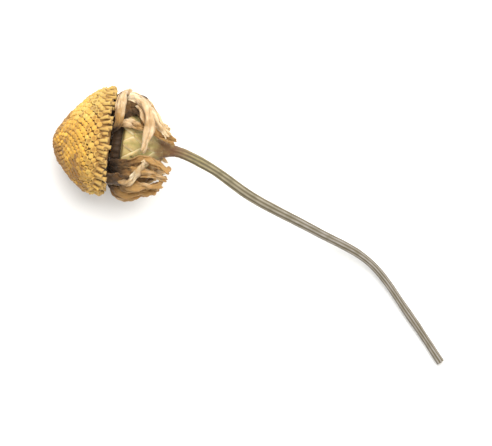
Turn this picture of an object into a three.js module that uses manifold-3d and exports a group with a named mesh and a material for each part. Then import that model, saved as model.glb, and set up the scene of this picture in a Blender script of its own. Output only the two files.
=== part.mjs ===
// A dried chamomile flower lying on its side: a cone of packed disc florets, a ragged ring of
// bent back ray florets, a cup of green bracts and a long ribbed stalk, cut off at its end.
// Millimetres, +Z up. The head's axis is level, and +X runs from the crown to the stalk. The
// origin is on the surface, under the widest part of the disc, where the head rests.

import * as THREE from 'three';
import { ConvexGeometry } from 'three/addons/geometries/ConvexGeometry.js';
import { mergeVertices } from 'three/addons/utils/BufferGeometryUtils.js';
import Module from 'manifold-3d';

const wasm = await Module();
wasm.setup();

// The head as it lies.
const AXIS_HEIGHT = 3.13; // the head's axis above the surface
const HEAD_TURN = 6; // degrees, how far the head's axis turns from the row's X axis

// The disc, measured along the axis from its widest section.
const DISC_RADIUS = 3.35;
const DISC_HEIGHT = 2.9; // from the widest section to the crown
const DOME_SHARE = 0.4; // the section is this much a round dome, and the rest a cone
const CONE_POWER = 1.2; // 1 is a straight cone, and more rounds it
const CROWN_LEAN = 0.155; // how far the cone leans sideways, as a share of its height
const RIM_BACK = 0.45; // from the widest section to the back of the rim
const RIM_RADIUS = 3.12; // where the rim ends, at its back
const RIM_ROLL = 60; // degrees that the section turns under at the rim
const RIM_WALL = 0.5; // from the rim's outside to the hollow behind it, where it is deepest
const CORE_RADIUS = 1.9; // the receptacle, which stands behind the hollow of the rim
const CORE_BACK = 0.6;
const HOLLOW_FRONT = 0.05; // how deep the hollow behind the rim goes
const DISC_FLORETS = 300;
const FLORET_RELIEF = 0.09; // each floret's tip above the mean surface, and its foot below it
const RIM_FLORETS = 38;
const RIM_FLORET_RADIUS = 0.15;
const RIM_FLORET_ROOT = 0.15;
const RIM_FLORET_REACH = [0.2, 0.36]; // how far they stand out behind the rim

// The ring of ray florets.
const RAY_FRONT = 0.7;
const RAY_BACK = 1.3;
const RAY_RING_INNER = 1.25;
const RAY_RING_OUTER = 1.85;
const RAY_THICKNESS = 0.6;
const RAY_STEPS = 9;
const RAY_PLEAT = 0.07;
const RAY_CUPPING = 0.14; // how far the edges are drawn in
const RAY_CRINKLE = 0.07;
const RAY_NOTCH = 0.2; // depth of the notches between the three teeth at the tip

// The cup of bracts.
const PLUG_RADIUS = 1.15; // the stub inside the ring of ray florets
const CUP_MOUTH = 1.4;
const CUP_RADIUS = 1.85;
const NECK_END = 4.0;
const NECK_RADIUS = 0.52;
const BRACT_RISE = 0.24;
const BRACT_ROOT = 0.15; // how deep a bract is sunk into the cup
const INNER_BRACTS = 10;
const OUTER_BRACTS = 7;

// The stalk: the points that its centre line passes through, and its ribbed section.
const STALK_ROUTE = [
  [4.12, 0.42, 3.13],
  [5.15, 0.4, 3.08],
  [7.1, -0.1, 2.82],
  [9.95, -1.2, 2.26],
  [13.95, -2.2, 1.5],
  [17.65, -3.28, 0.82],
  [20.75, -5.8, 0.42],
  [23.35, -8.19, 0.25],
];
const STALK_STEPS = 46;
const STALK_RIBS = 5;
const STALK_RADIUS = 0.34; // near the head
const STALK_END_RADIUS = 0.26;
const STALK_SWELL = 0.14; // how much thicker it is where it meets the head
const STALK_RIB_DEPTH = 0.04;

const GOLDEN_ANGLE = Math.PI * (3 - Math.sqrt(5));
const RAD = Math.PI / 180;
const RIM_CLEAR = 1e-3; // no floret sits closer to the rim's edge than this
const MERGE_DISTANCE = 1e-5; // corners closer than this are one

// A seeded random number from 0 to 1.
let seed = 20;
function random() {
  seed = (seed * 1664525 + 1013904223) % 4294967296;
  return seed / 4294967296;
}

function spread(low, high) {
  return low + (high - low) * random();
}

// A point at a distance from the head's axis. Angle 0 is the top, and 90 degrees is +Y.
function around(x, radius, angle) {
  return new THREE.Vector3(x, radius * Math.sin(angle), radius * Math.cos(angle));
}

// Closed geometry as a solid that can be joined and cut.
function solid(geometry) {
  const bare = geometry.clone();
  bare.deleteAttribute('normal');
  bare.deleteAttribute('uv');
  const merged = mergeVertices(bare, MERGE_DISTANCE);
  const corners = [];
  const index = merged.index.array;
  for (let i = 0; i < index.length; i += 3) {
    const [a, b, c] = [index[i], index[i + 1], index[i + 2]];
    if (a !== b && b !== c && c !== a) corners.push(a, b, c);
  }
  return new wasm.Manifold(new wasm.Mesh({
    numProp: 3,
    vertProperties: new Float32Array(merged.attributes.position.array),
    triVerts: new Uint32Array(corners),
  }));
}

function fuse(geometries) {
  return geometries.map(solid).reduce((whole, piece) => whole.add(piece));
}

function geometryOf(body) {
  const mesh = body.getMesh();
  const geometry = new THREE.BufferGeometry();
  geometry.setAttribute('position', new THREE.BufferAttribute(mesh.vertProperties, 3));
  geometry.setIndex(new THREE.BufferAttribute(mesh.triVerts, 1));
  geometry.computeVertexNormals();
  return geometry;
}

// A profile of [x, radius] points, turned round the head's axis. Its outer side runs towards +X.
function turned(profile, sides) {
  const points = profile.map(([x, radius]) => new THREE.Vector2(radius, x));
  return new THREE.LatheGeometry(points, sides).rotateZ(-Math.PI / 2);
}

// Everything under the surface that the head rests on, in the head's own coordinates.
function ground() {
  const depth = 2;
  return solid(new THREE.BoxGeometry(20, 20, depth).translate(0, 0, -AXIS_HEIGHT - depth / 2));
}

// A box bent by a function of its length, width and thickness: along from 0 to 1, across and
// through from -1 to 1.
function bent(steps, columns, place) {
  const geometry = new THREE.BoxGeometry(1, 2, 2, steps, columns, 1);
  const position = geometry.attributes.position;
  for (let i = 0; i < position.count; i += 1) {
    const point = place(position.getX(i) + 0.5, position.getY(i), position.getZ(i));
    position.setXYZ(i, point.x, point.y, point.z);
  }
  return geometry;
}

// Places along a curve, each with the direction across it, turned as little as possible on the
// way from the first one, and the direction along it.
function framesAlong(curve, steps, firstAcross) {
  const frames = [];
  let across = firstAcross;
  for (let i = 0; i <= steps; i += 1) {
    const ahead = curve.getTangent(i / steps);
    across = across.clone().addScaledVector(ahead, -across.dot(ahead)).normalize();
    frames.push({ centre: curve.getPoint(i / steps), across, ahead });
  }
  return frames;
}

// The disc's section from the crown, at 0, over the widest part to the back of the rim, at 1:
// a blunt cone that rolls under at its rim.
function discSection(t) {
  const rollStart = 0.88;
  if (t < rollStart) {
    const u = Math.cos((t / rollStart) * (Math.PI / 2));
    const dome = Math.sqrt(1 - u * u);
    const cone = 1 - u ** CONE_POWER;
    return [-DISC_HEIGHT * u, DISC_RADIUS * THREE.MathUtils.lerp(cone, dome, DOME_SHARE)];
  }
  const roll = RIM_ROLL * RAD;
  const turn = ((t - rollStart) / (1 - rollStart)) * roll;
  const drop = (1 - Math.cos(turn)) / (1 - Math.cos(roll));
  const back = Math.sin(turn) / Math.sin(roll);
  return [RIM_BACK * back, DISC_RADIUS - (DISC_RADIUS - RIM_RADIUS) * drop];
}

// Florets on the golden angle, each with the same share of the disc's surface.
function floretSpots() {
  const steps = 400;
  const area = [0];
  for (let i = 1; i <= steps; i += 1) {
    const [x0, r0] = discSection((i - 1) / steps);
    const [x1, r1] = discSection(i / steps);
    area.push(area[i - 1] + Math.hypot(x1 - x0, r1 - r0) * (r0 + r1));
  }
  const spots = [];
  let step = 0;
  for (let k = 0; k < DISC_FLORETS; k += 1) {
    const share = (area[steps] * (k + 0.5)) / DISC_FLORETS;
    while (area[step] < share) step += 1;
    const [x, radius] = discSection(step / steps);
    if (x < RIM_BACK - RIM_CLEAR) spots.push(around(x, radius, k * GOLDEN_ANGLE));
  }
  return spots;
}

// A point of the disc moved outwards from the middle of the head.
function raised(point, distance) {
  const out = point.clone().sub(new THREE.Vector3(RIM_BACK, 0, 0)).normalize();
  return point.clone().addScaledVector(out, distance);
}

// Leans a point in front of the widest section towards -Y.
function leaned(point) {
  return point.setY(point.y + CROWN_LEAN * Math.min(point.x, 0));
}

// The cone of florets: the spots' convex skin, with each spot raised to a floret's tip and the
// middle of each triangle between three florets sunk to their feet.
function discCone() {
  const rim = [];
  for (let i = 0; i < RIM_FLORETS; i += 1) {
    rim.push(around(RIM_BACK, RIM_RADIUS, (i / RIM_FLORETS) * 2 * Math.PI));
  }
  const skin = new ConvexGeometry([...floretSpots(), ...rim]);
  skin.deleteAttribute('normal');
  const merged = mergeVertices(skin, MERGE_DISTANCE);
  const position = merged.attributes.position;
  const spots = [];
  const tips = [];
  for (let i = 0; i < position.count; i += 1) {
    const spot = new THREE.Vector3().fromBufferAttribute(position, i);
    spot.onRim = spot.x > RIM_BACK - RIM_CLEAR;
    spots.push(spot);
    tips.push(leaned(raised(spot, spot.onRim ? 0 : FLORET_RELIEF * spread(0.6, 1.15))));
  }
  const points = [];
  const index = merged.index.array;
  for (let i = 0; i < index.length; i += 3) {
    const corners = [index[i], index[i + 1], index[i + 2]];
    if (corners.every((corner) => spots[corner].onRim)) {
      points.push(...corners.map((corner) => tips[corner]));
      continue;
    }
    const middle = new THREE.Vector3();
    for (const corner of corners) middle.addScaledVector(spots[corner], 1 / 3);
    const foot = leaned(raised(middle, -FLORET_RELIEF));
    for (let side = 0; side < 3; side += 1) {
      points.push(tips[corners[side]], tips[corners[(side + 1) % 3]], foot);
    }
  }
  return new THREE.BufferGeometry().setFromPoints(points);
}

// One of the outermost florets: a short tube that stands out behind the rim.
function rimFloret(angle) {
  const length = RIM_BACK + spread(...RIM_FLORET_REACH) - RIM_FLORET_ROOT;
  const tube = new THREE.CylinderGeometry(RIM_FLORET_RADIUS, RIM_FLORET_RADIUS * 0.8, length, 5);
  tube.rotateZ(-Math.PI / 2);
  tube.translate(RIM_FLORET_ROOT + length / 2, 0, RIM_RADIUS - RIM_FLORET_RADIUS);
  return tube.rotateX(-angle);
}

// The disc with its florets, hollow behind the rim, round the stub of the receptacle.
function discFlorets() {
  const sides = 28;
  const hollowBack = RIM_BACK + 0.5;
  const hollow = turned([
    [HOLLOW_FRONT, CORE_RADIUS],
    [HOLLOW_FRONT, RIM_RADIUS - RIM_WALL],
    [hollowBack, RIM_RADIUS - RIM_WALL / 2],
    [hollowBack, CORE_RADIUS],
    [HOLLOW_FRONT, CORE_RADIUS],
  ], sides);
  const core = turned([
    [0, 0],
    [0, CORE_RADIUS],
    [CORE_BACK, CORE_RADIUS - 0.1],
    [CORE_BACK, 0],
  ], sides);
  const tubes = [];
  for (let i = 0; i < RIM_FLORETS; i += 1) {
    tubes.push(rimFloret(((i + spread(-0.2, 0.2)) / RIM_FLORETS) * 2 * Math.PI));
  }
  const cone = solid(discCone()).subtract(solid(hollow)).add(solid(core));
  return geometryOf(cone.add(fuse(tubes)).subtract(ground()));
}

// The ray florets. A route gives the middle line from the root to the tip as points of [x,
// distance from the axis, angle round it in degrees]. A short form gives the angle, how far the
// tip leans round the axis, the length, and how far the blade stands off the cup. Twist turns
// the blade over towards its tip, in degrees.
const RAYS = [
  {
    route: [
      [1.0, 1.6, 28], [1.05, 2.25, 28], [1.35, 2.6, 28],
      [1.9, 2.55, 27], [2.4, 2.3, 25], [2.9, 2.0, 21],
    ],
    width: 0.62, twist: 10,
  },
  {
    route: [
      [1.0, 1.6, 80], [1.05, 2.35, 80], [1.5, 2.7, 77], [2.1, 2.78, 67],
      [2.6, 2.72, 49], [2.85, 2.6, 28], [2.8, 2.4, 2],
    ],
    width: 0.72, twist: 70,
  },
  {
    route: [
      [1.0, 1.6, 107], [1.05, 2.25, 107], [1.5, 2.55, 103], [2.2, 2.55, 87],
      [2.9, 2.42, 62], [3.5, 2.15, 44], [4.15, 1.85, 26],
    ],
    width: 1.0, twist: 20,
  },
  {
    route: [
      [1.0, 1.6, 78], [1.05, 2.3, 78], [1.7, 2.68, 74], [2.4, 2.6, 60],
      [3.0, 2.25, 42], [3.55, 1.85, 31], [4.1, 1.62, 26], [4.55, 1.4, 22],
    ],
    width: 0.8, twist: 20,
  },
  {
    route: [
      [1.0, 1.6, 316], [1.1, 2.3, 319], [1.75, 2.75, 327], [2.7, 2.68, 339],
      [3.5, 2.4, 338], [4.45, 2.2, 322],
    ],
    width: 0.85, twist: 20,
  },
  {
    route: [
      [1.0, 1.6, 304], [1.1, 2.35, 306], [1.75, 2.8, 313],
      [2.7, 2.8, 321], [3.5, 2.65, 320], [4.35, 2.45, 310],
    ],
    width: 0.85, twist: -24,
  },
  {
    route: [
      [1.0, 1.6, 294], [1.1, 2.4, 295], [1.7, 2.85, 299],
      [2.6, 2.95, 305], [3.4, 2.85, 305], [4.15, 2.55, 300],
    ],
    width: 0.85, twist: 20,
  },
  {
    route: [
      [1.0, 1.6, 277], [1.1, 2.4, 276], [1.6, 2.95, 279],
      [2.5, 3.05, 286], [3.3, 2.85, 292], [3.85, 2.6, 296],
    ],
    width: 0.95, twist: -20,
  },
  { at: 133, lean: 10, length: 3.0, lift: 0.2, width: 1.1, twist: 24 },
  { at: 157, lean: -8, length: 2.6, lift: 0.62, width: 1.2, twist: 0 },
  { at: 181, lean: 14, length: 3.1, lift: 0.3, width: 1.1, twist: -16 },
  { at: 205, lean: 6, length: 2.7, lift: 0.66, width: 1.25, twist: 0 },
  { at: 229, lean: -10, length: 3.2, lift: 0.4, width: 1.1, twist: 26 },
  { at: 253, lean: 10, length: 2.9, lift: 0.62, width: 1.15, twist: -22 },
];

// The middle line of a ray floret, from its root to its tip.
function rayRoute({ route, at, lean, length, lift }) {
  const root = (RAY_FRONT + RAY_BACK) / 2;
  const places = route ?? [
    [0, 1.6],
    [0.05, 2.3],
    [0.45, 2.64 + 0.5 * lift],
    [0.45 * length, 2.5 + 0.9 * lift],
    [0.72 * length, 2.12 + lift],
    [length, 1.6 + lift],
  ].map(([x, radius], i) => [root + x, radius, at + lean * (i / 5) ** 1.5]);
  return new THREE.CatmullRomCurve3(
    places.map(([x, radius, angle]) => around(x, radius, angle * RAD)),
  );
}

// One ray floret: a pleated strip that leaves the ring outwards, bends back over the cup and
// ends in three blunt teeth.
function rayFloret(ray) {
  const phase = spread(0, 6);
  const curve = rayRoute(ray);
  const root = curve.getPoint(0);
  const frames = framesAlong(curve, RAY_STEPS, root.clone().cross(new THREE.Vector3(1, 0, 0)));
  return bent(RAY_STEPS, 4, (along, across, through) => {
    const frame = frames[Math.round(along * RAY_STEPS)];
    const { centre, ahead } = frame;
    const sideways = frame.across.clone().applyAxisAngle(ahead, ray.twist * RAD * along);
    const out = ahead.clone().cross(sideways);
    const half = (ray.width / 2) * (0.62 + 0.38 * Math.sin(Math.PI * Math.min(1, along * 1.15)));
    const open = Math.min(1, along * 2.5);
    const pleat = open * RAY_PLEAT * Math.cos(2 * Math.PI * across);
    const cupping = open * RAY_CUPPING * across * across;
    const crinkle = RAY_CRINKLE * along * Math.sin(7 * along + phase + across);
    const notch = along > 0.99 ? RAY_NOTCH * Math.sin(Math.PI * across) ** 2 : 0;
    return centre.clone()
      .addScaledVector(sideways, across * half)
      .addScaledVector(out, (through * RAY_THICKNESS) / 2 + pleat - cupping + crinkle)
      .addScaledVector(ahead, -notch);
  });
}

// The ring of ray florets, cut flat where they touch the surface.
function rayFlorets() {
  const ring = turned([
    [RAY_FRONT, RAY_RING_INNER],
    [RAY_FRONT, RAY_RING_OUTER],
    [RAY_BACK, RAY_RING_OUTER],
    [RAY_BACK, RAY_RING_INNER],
    [RAY_FRONT, RAY_RING_INNER],
  ], 28);
  return geometryOf(fuse([ring, ...RAYS.map(rayFloret)]).subtract(ground()));
}

// The cup's radius under its bracts: full at the mouth, drawn in to the neck.
function cupRadius(x) {
  const t = THREE.MathUtils.clamp((x - CUP_MOUTH) / (NECK_END - CUP_MOUTH), 0, 1);
  const draw = THREE.MathUtils.smoothstep(t, 0.08, 0.95);
  return CUP_RADIUS - (CUP_RADIUS - NECK_RADIUS) * draw;
}

// One bract: a pointed scale that lies on the cup, with its base towards the neck.
function bract(angle, base, tip, width, rise) {
  return bent(5, 2, (along, across, through) => {
    const x = base + (tip - base) * along;
    const half = (width / 2) * Math.sin(Math.PI * (0.18 + 0.76 * along)) ** 0.8;
    const top = rise * (0.45 + 0.55 * along) * (1 - 0.75 * across * across);
    const radius = cupRadius(x) + (through > 0 ? top : -BRACT_ROOT);
    return around(x, radius, angle - (across * half) / cupRadius(x));
  });
}

// The cup with its two rows of bracts, and the stub that carries the ray florets and the disc.
function involucreBracts() {
  const profile = [[RAY_FRONT, 0], [RAY_FRONT, PLUG_RADIUS], [CUP_MOUTH, PLUG_RADIUS]];
  const steps = 8;
  for (let i = 0; i <= steps; i += 1) {
    const x = CUP_MOUTH + ((NECK_END - CUP_MOUTH) * i) / steps;
    profile.push([x, cupRadius(x)]);
  }
  profile.push([NECK_END, 0]);
  const bracts = [];
  for (let i = 0; i < INNER_BRACTS; i += 1) {
    const angle = ((i + spread(-0.12, 0.12)) / INNER_BRACTS) * 2 * Math.PI;
    bracts.push(bract(angle, 3.1, CUP_MOUTH - 0.05, 1.02, BRACT_RISE));
  }
  for (let i = 0; i < OUTER_BRACTS; i += 1) {
    const angle = ((i + 0.5 + spread(-0.12, 0.12)) / OUTER_BRACTS) * 2 * Math.PI;
    bracts.push(bract(angle, 3.75, CUP_MOUTH + 0.7, 0.9, BRACT_RISE + 0.08));
  }
  return geometryOf(fuse([turned(profile, 24), ...bracts]));
}

// The stalk: a ribbed rod bent along its route, swollen where it meets the head and thinner at
// its cut end, with a flat where that end lies down.
function stalk() {
  const curve = new THREE.CatmullRomCurve3(STALK_ROUTE.map((point) => new THREE.Vector3(...point)));
  const frames = framesAlong(curve, STALK_STEPS, new THREE.Vector3(0, 1, 0));
  const rod = new THREE.CylinderGeometry(1, 1, 1, STALK_RIBS * 2, STALK_STEPS);
  const position = rod.attributes.position;
  for (let i = 0; i < position.count; i += 1) {
    const along = position.getY(i) + 0.5;
    const [across, up] = [position.getZ(i), position.getX(i)];
    const frame = frames[Math.round(along * STALK_STEPS)];
    const rib = STALK_RIB_DEPTH * Math.cos(STALK_RIBS * Math.atan2(up, across));
    const thinner = THREE.MathUtils.smoothstep(along, 0.35, 0.85);
    const swell = STALK_SWELL * (1 - THREE.MathUtils.smoothstep(along, 0, 0.035));
    const radius = THREE.MathUtils.lerp(STALK_RADIUS, STALK_END_RADIUS, thinner) + swell + rib;
    const point = frame.centre.clone()
      .addScaledVector(frame.across, across * radius)
      .addScaledVector(frame.ahead.clone().cross(frame.across), up * radius);
    position.setXYZ(i, point.x, point.y, point.z);
  }
  const floor = new THREE.BoxGeometry(60, 60, 2).translate(0, 0, -1);
  return geometryOf(solid(rod).subtract(solid(floor)));
}

function piece(name, geometry, colour, roughness) {
  const material = new THREE.MeshStandardMaterial({ color: colour, roughness, metalness: 0 });
  const mesh = new THREE.Mesh(geometry, material);
  mesh.name = name;
  return mesh;
}

const head = new THREE.Group();
head.position.z = AXIS_HEIGHT;
head.rotation.z = HEAD_TURN * RAD;
head.add(piece('disc_florets', discFlorets(), 0xd9a441, 0.85));
head.add(piece('ray_florets', rayFlorets(), 0xe8cfa4, 0.8));
head.add(piece('involucre_bracts', involucreBracts(), 0xc3b27a, 0.75));

const flower = new THREE.Group();
flower.add(head);
flower.add(piece('stalk', stalk(), 0x8a8262, 0.75));

export default flower;
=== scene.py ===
"""Builds the look of a dried chamomile flower: its disc of packed florets, its shrivelled ray
florets, its cup of bracts and its ribbed stalk, with a pale stage, soft lights and a camera.

The head is worked out in millimetres in its own coordinates, with X along its axis from the crown
to the stalk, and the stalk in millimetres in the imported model's frame. Both are placed in that
frame in metres."""

import math
import random

import bmesh
import bpy
from mathutils import Color, Matrix, Vector, noise


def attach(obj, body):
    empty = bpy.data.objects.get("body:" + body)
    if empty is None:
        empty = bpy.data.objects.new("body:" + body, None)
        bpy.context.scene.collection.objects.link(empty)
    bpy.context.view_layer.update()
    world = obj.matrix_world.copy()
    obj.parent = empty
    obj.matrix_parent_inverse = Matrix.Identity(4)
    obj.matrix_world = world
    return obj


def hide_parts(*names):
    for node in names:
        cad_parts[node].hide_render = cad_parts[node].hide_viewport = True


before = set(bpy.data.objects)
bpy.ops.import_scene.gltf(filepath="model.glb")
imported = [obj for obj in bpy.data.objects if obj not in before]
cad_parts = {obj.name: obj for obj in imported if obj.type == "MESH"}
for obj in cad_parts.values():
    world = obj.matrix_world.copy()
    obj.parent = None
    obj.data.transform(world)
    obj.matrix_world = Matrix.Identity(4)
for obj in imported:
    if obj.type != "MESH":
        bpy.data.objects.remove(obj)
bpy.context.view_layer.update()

bl_info = {
    "name": "Dried Chamomile Flower",
    "version": (1, 0, 0),
    "blender": (4, 5, 0),
    "location": "View3D > Sidebar > Chamomile",
    "description": "Models and dresses one dried chamomile flower lying on a pale surface",
    "category": "Add Mesh",
}

MM = 0.001
TURN = 2 * math.pi
GOLDEN_ANGLE = math.pi * (3 - math.sqrt(5))
HEAD_AXIS = Vector((1, 0, 0))
DISC_SEED, RAYS_SEED, BRACTS_SEED = 7, 11, 5
NOISE_SPAN = 50  # ray florets and bracts take their noise from places up to this far apart

# The stage, in metres, and the camera's turn and aim over it.
FLOOR_SIZE = 1.5
PICTURE_TURN = math.radians(13.8)  # from +X to the right of the picture
AIM = Vector((9.76, -2.75, 1.0)) * MM
CLIP_START, CLIP_END = 0.01, 10.0
ROOM_COLOUR = (0.96, 0.98, 1.0, 1.0)

# The head as it lies, in millimetres and degrees.
AXIS_HEIGHT = 3.13
HEAD_TURN = 6.0
HEAD_PLACE = (
    Matrix.Scale(MM, 4)
    @ Matrix.Translation((0, 0, AXIS_HEIGHT))
    @ Matrix.Rotation(math.radians(HEAD_TURN), 4, "Z")
)
STALK_PLACE = Matrix.Scale(MM, 4)
PRESSED_LAYER = 0.12  # below this height the surface presses shapes together
MERGED = 1e-4  # vertices this close become one where a shape is spun round its axis

# The disc, measured along the axis from its widest section. A place on its section runs from 0 at
# the crown to 1 at the back of the rim.
RIM_BACK = 0.45
RIM_RADIUS = 3.12
RIM_ROLL = math.radians(60)
ROLL_START = 0.88
DOME_SHARE = 0.4  # how much the section is a dome, where the rest is a cone
CONE_POWER = 1.2
CROWN_LEAN = 0.155  # how far the cone leans sideways, as a share of the height
DISC_WAVE, DISC_WAVE_RATE = 0.09, 0.9  # how far the cone swells and dips, and how often
SECTION_STEPS = 600
SLOPE_STEP = 0.01

# The receptacle under the florets, and its hollow back from the rim to the stub, as (x, radius).
CORE_INSET = 0.26
CORE_STEPS, CORE_SIDES = 24, 48
CORE_BACK = ((0.3, 2.6), (0.1, 2.4), (0.05, 2.1), (0.2, 1.9), (0.6, 1.8), (0.6, 0.0))
CORE_WAVE, CORE_WAVE_RATE = 0.03, 2.5
CORE_ZONE = 0.5

# The florets. Widths and heights are in spacings, and depths and reaches in millimetres.
LOBES = 5
LOBE_LIFT = 0.5  # how far the lobes rise, as a share of how far they stand out
PACKING = 0.9  # the share of its spacing squared that a floret covers
AGE_SPREAD = 0.2  # how far a floret may be ahead of its place on the section
HALF_OPEN_AGE, OPEN_AGE = 0.5, 0.82
TUBES_START = 0.87  # the florets behind this place are long tubes
TUBE_STRETCH = 1.15
TUBE_REACH = 0.72  # where their tips end, along the axis
TUBE_SPREAD = (-0.26, 0.04)
FOOT_DEPTHS = (0.12, 0.22)  # how deep the feet are sunk at the crown and at the rim
DEEPER_START = 0.75
BACK_BEND = 0.9  # how far the florets at the rim bend back
BEND_START, BEND_END = 0.72, 0.96
SWAY, TUBE_SWAY = 0.14, 0.26
FLORET_WIDTHS = (0.92, 1.22)
FLORET_HEIGHTS = (0.9, 1.35)
FLORET_PUCKER, FLORET_PUCKER_RATE = 0.03, 5
FOOT_HEIGHT, LIT_HEIGHT = -0.4, 0.7  # the top of the shade at a foot, and over what it clears
OPENING_SHADE = 0.38

# Their shapes: a name, the height that the middle closes at, and rings from the foot up, each with
# a height, a radius and how far the lobes stand out of it.
FLORET_SHAPES = (
    ("floret_closed", 0.5,
     (-0.6, 0.42, 0.0), (0.0, 0.5, 0.03), (0.26, 0.44, 0.08), (0.44, 0.26, 0.16)),
    ("floret_half_open", 0.2,
     (-0.6, 0.36, 0.0), (0.0, 0.45, 0.04), (0.28, 0.47, 0.16), (0.4, 0.34, 0.28)),
    ("floret_open", 0.0,
     (-0.7, 0.3, 0.0), (0.0, 0.33, 0.04), (0.34, 0.47, 0.28), (0.34, 0.3, 0.2)),
    ("floret_tube", 0.8,
     (-0.5, 0.2, 0.0), (0.0, 0.28, 0.03), (0.65, 0.29, 0.08), (0.98, 0.37, 0.25),
     (1.0, 0.24, 0.2)),
)

# A floret's tone, from 0 for amber over gold to 1 for lemon, what makes it differ, and painted
# shade.
MEAN_TONE = 0.55
TONE_PATCHES, TONE_PATCH_RATE = 0.3, 0.7
TONE_SPREAD = 0.13
FLANK_TONE, FLANK = 0.42, (0.5, 2.4)  # paler towards +Y, between these millimetres
# the side that the light comes from, for the painted shade on the disc
LIGHT_SIDE = Vector((0.58, 0.2, 0.79))
PAINTED_SHADE_TONE, PAINTED_SHADE_SPAN = 0.7, (-0.34, 0.2)  # painted shade: darker where a floret turns away from the light side

# The ring that the ray florets grow on, as (x, radius), and its flutes.
RAY_FRONT = 0.7
RAY_BACK = 1.3
RAY_ROOT = (RAY_FRONT + RAY_BACK) / 2
RING_SIDES = 96
RING_PROFILE = (
    (RAY_FRONT, 1.2), (RAY_FRONT + 0.05, 1.5), (RAY_FRONT + 0.25, 1.62), (RAY_BACK - 0.1, 1.62),
    (RAY_BACK, 1.5), (RAY_BACK + 0.1, 1.2), (RAY_FRONT, 1.2),
)
FLUTES, FLUTE_DEPTH, FLUTE_WANDER = 24, 0.035, 4
RING_WAVE, RING_WAVE_RATE = 0.05, 3
# The ring's fold and brown marks, which paint it dark as the shade in the gap under the disc's rim.
RING_FOLD_SHADE, RING_BROWN_AND_SHADE = 0.6, 0.8

# The blade of a ray floret. Along runs from 0 at the root to 1 at the tip, and across from -1 at
# one edge to 1 at the other.
BLADE_STEPS, BLADE_COLUMNS = 36, 13
BLADE_FOLDS = (1.3, 2.3)  # how many folds a blade has
NOISE_ALONG, NOISE_ACROSS, WANDER_RATE = 5, 1.7, 3
TURNED = (0.0, 0.3)  # where along it a blade turns over
END_WIDTH, WIDTH_SPAN, TAPER = 0.55, 0.45, 1.12  # narrower at the ends, as shares of the width
WIDTH_WANDER, TATTER, TATTER_RATE = 0.2, 0.16, 3
ROOT_ROLL, ROLL_SPAN = 0.2, 0.8
ROLL_MIDDLE, ROLL_HEIGHT = 0.6, 0.9
SIDE_WANDER = 0.12
UNFOLDED = 3  # the folds are full from one part in this many on
FOLD_WANDER, FOLD_MEAN, FOLD_RATE = 5, 0.7, 0.8
PUCKERS = ((1.0, 1.0), (2.3, 0.75), (4.2, 0.55))  # how often and how high
ROOT_CRINKLE, CRINKLE_SPAN = 0.3, 0.9
TEETH, TOOTH_DEPTH, TEETH_PLACE = 3, 0.3, (0.86, 1.0)
# The fold mark: painted shade in the folds and the valleys of the puckers, darker at the edges.
MEAN_SHADE, FOLD_SHADE, PUCKER_SHADE, EDGE_SHADE = 0.42, 0.28, 0.8, 0.2
BROWNING = (0.2, 0.62)  # where along it a blade takes on the brown of its tip

# The route of a blade in the short form: at each point an x, the share of the length that comes to
# it, a distance from the axis and the share of the lift that comes to that.
SHORT_ROUTE = (
    (0.0, 0.0, 1.6, 0.0), (0.2, 0.0, 2.25, 0.0), (0.45, 0.0, 2.64, 0.5),
    (0.0, 0.45, 2.5, 0.9), (0.0, 0.72, 2.12, 1.0), (0.0, 1.0, 1.6, 1.0),
)
LEAN_POWER = 1.5

# The cup, its neck and the bracts on it, measured along the axis.
PLUG_RADIUS = 1.15
CUP_MOUTH = 1.4
CUP_RADIUS = 1.85
CUP_DRAWN_IN = (0.08, 0.95)  # where the cup draws in to the neck, as shares of its length
CUP_STEPS, CUP_SIDES = 16, 40
CUP_WAVE, CUP_WAVE_RATE = 0.05, 3
CUP_EDGE = 0.4
NECK_END = 4.0
NECK_RADIUS = 0.52
NECK_TIP = ((0.15, 0.46), (0.4, 0.385), (0.6, 0.3), (0.6, 0.0))  # behind its end, as (x, radius)
# the bracts and the cup take painted shade from here to the neck's end
NECK_SHADE_START = 2.6
BRACT_ROWS = (
    {"count": 12, "base": 3.3, "tip": CUP_MOUTH - 0.08, "width": 1.15, "rise": 0.14},
    {"count": 11, "base": 3.6, "tip": CUP_MOUTH + 0.5, "width": 1.0, "rise": 0.22},
    {"count": 8, "base": 3.9, "tip": CUP_MOUTH + 1.2, "width": 0.8, "rise": 0.28},
)
STAGGER = 0.5  # how far every other row is shifted, in bracts
BRACT_SHIFT = (-0.15, 0.15)
BRACT_TIP_SHIFT = (-0.05, 0.12)
BRACT_STEPS, BRACT_COLUMNS = 14, 8
BRACT_START, BRACT_SPAN, BRACT_POWER = 0.16, 0.8, 0.8  # its outline is a part of a sine wave
BASE_RISE, RISE_SPAN, KEEL = 0.3, 0.7, 0.55
BRACT_WAVE, BRACT_WAVE_ALONG, BRACT_WAVE_ACROSS = 0.05, 4, 2

# The stalk, along which places run from 0 at the head to 1 at the cut.
STALK_STEPS = 150
SIDES_PER_RIB = 4
RIB_TWIST = 0.9  # how far the ribs wind round it, in radians
STALK_FLATTENED = 0.93
STALK_TAPER = (0.42, 0.85)
NECK_SWELLING, NECK_SWELLING_END = 0.1, (0.1, 0.24)
CUT_SWELLING, CUT_SWELLING_START = 0.02, (0.96, 1.0)
STALK_WAVE, STALK_WAVE_RATE, STALK_WAVE_PLACE = 0.03, 14, 3.1
STALK_ROUGH, ROUGH_ROUND, ROUGH_ALONG = 0.02, 1.5, 60
RIB_MEAN, RIB_SHADE, ROUGH_SHADE = 0.5, 0.4, 0.2
CUT_RINGS = ((0.82, 0.0), (0.95, 0.05))  # each ring's share of the one outside it, and its depth
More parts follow.
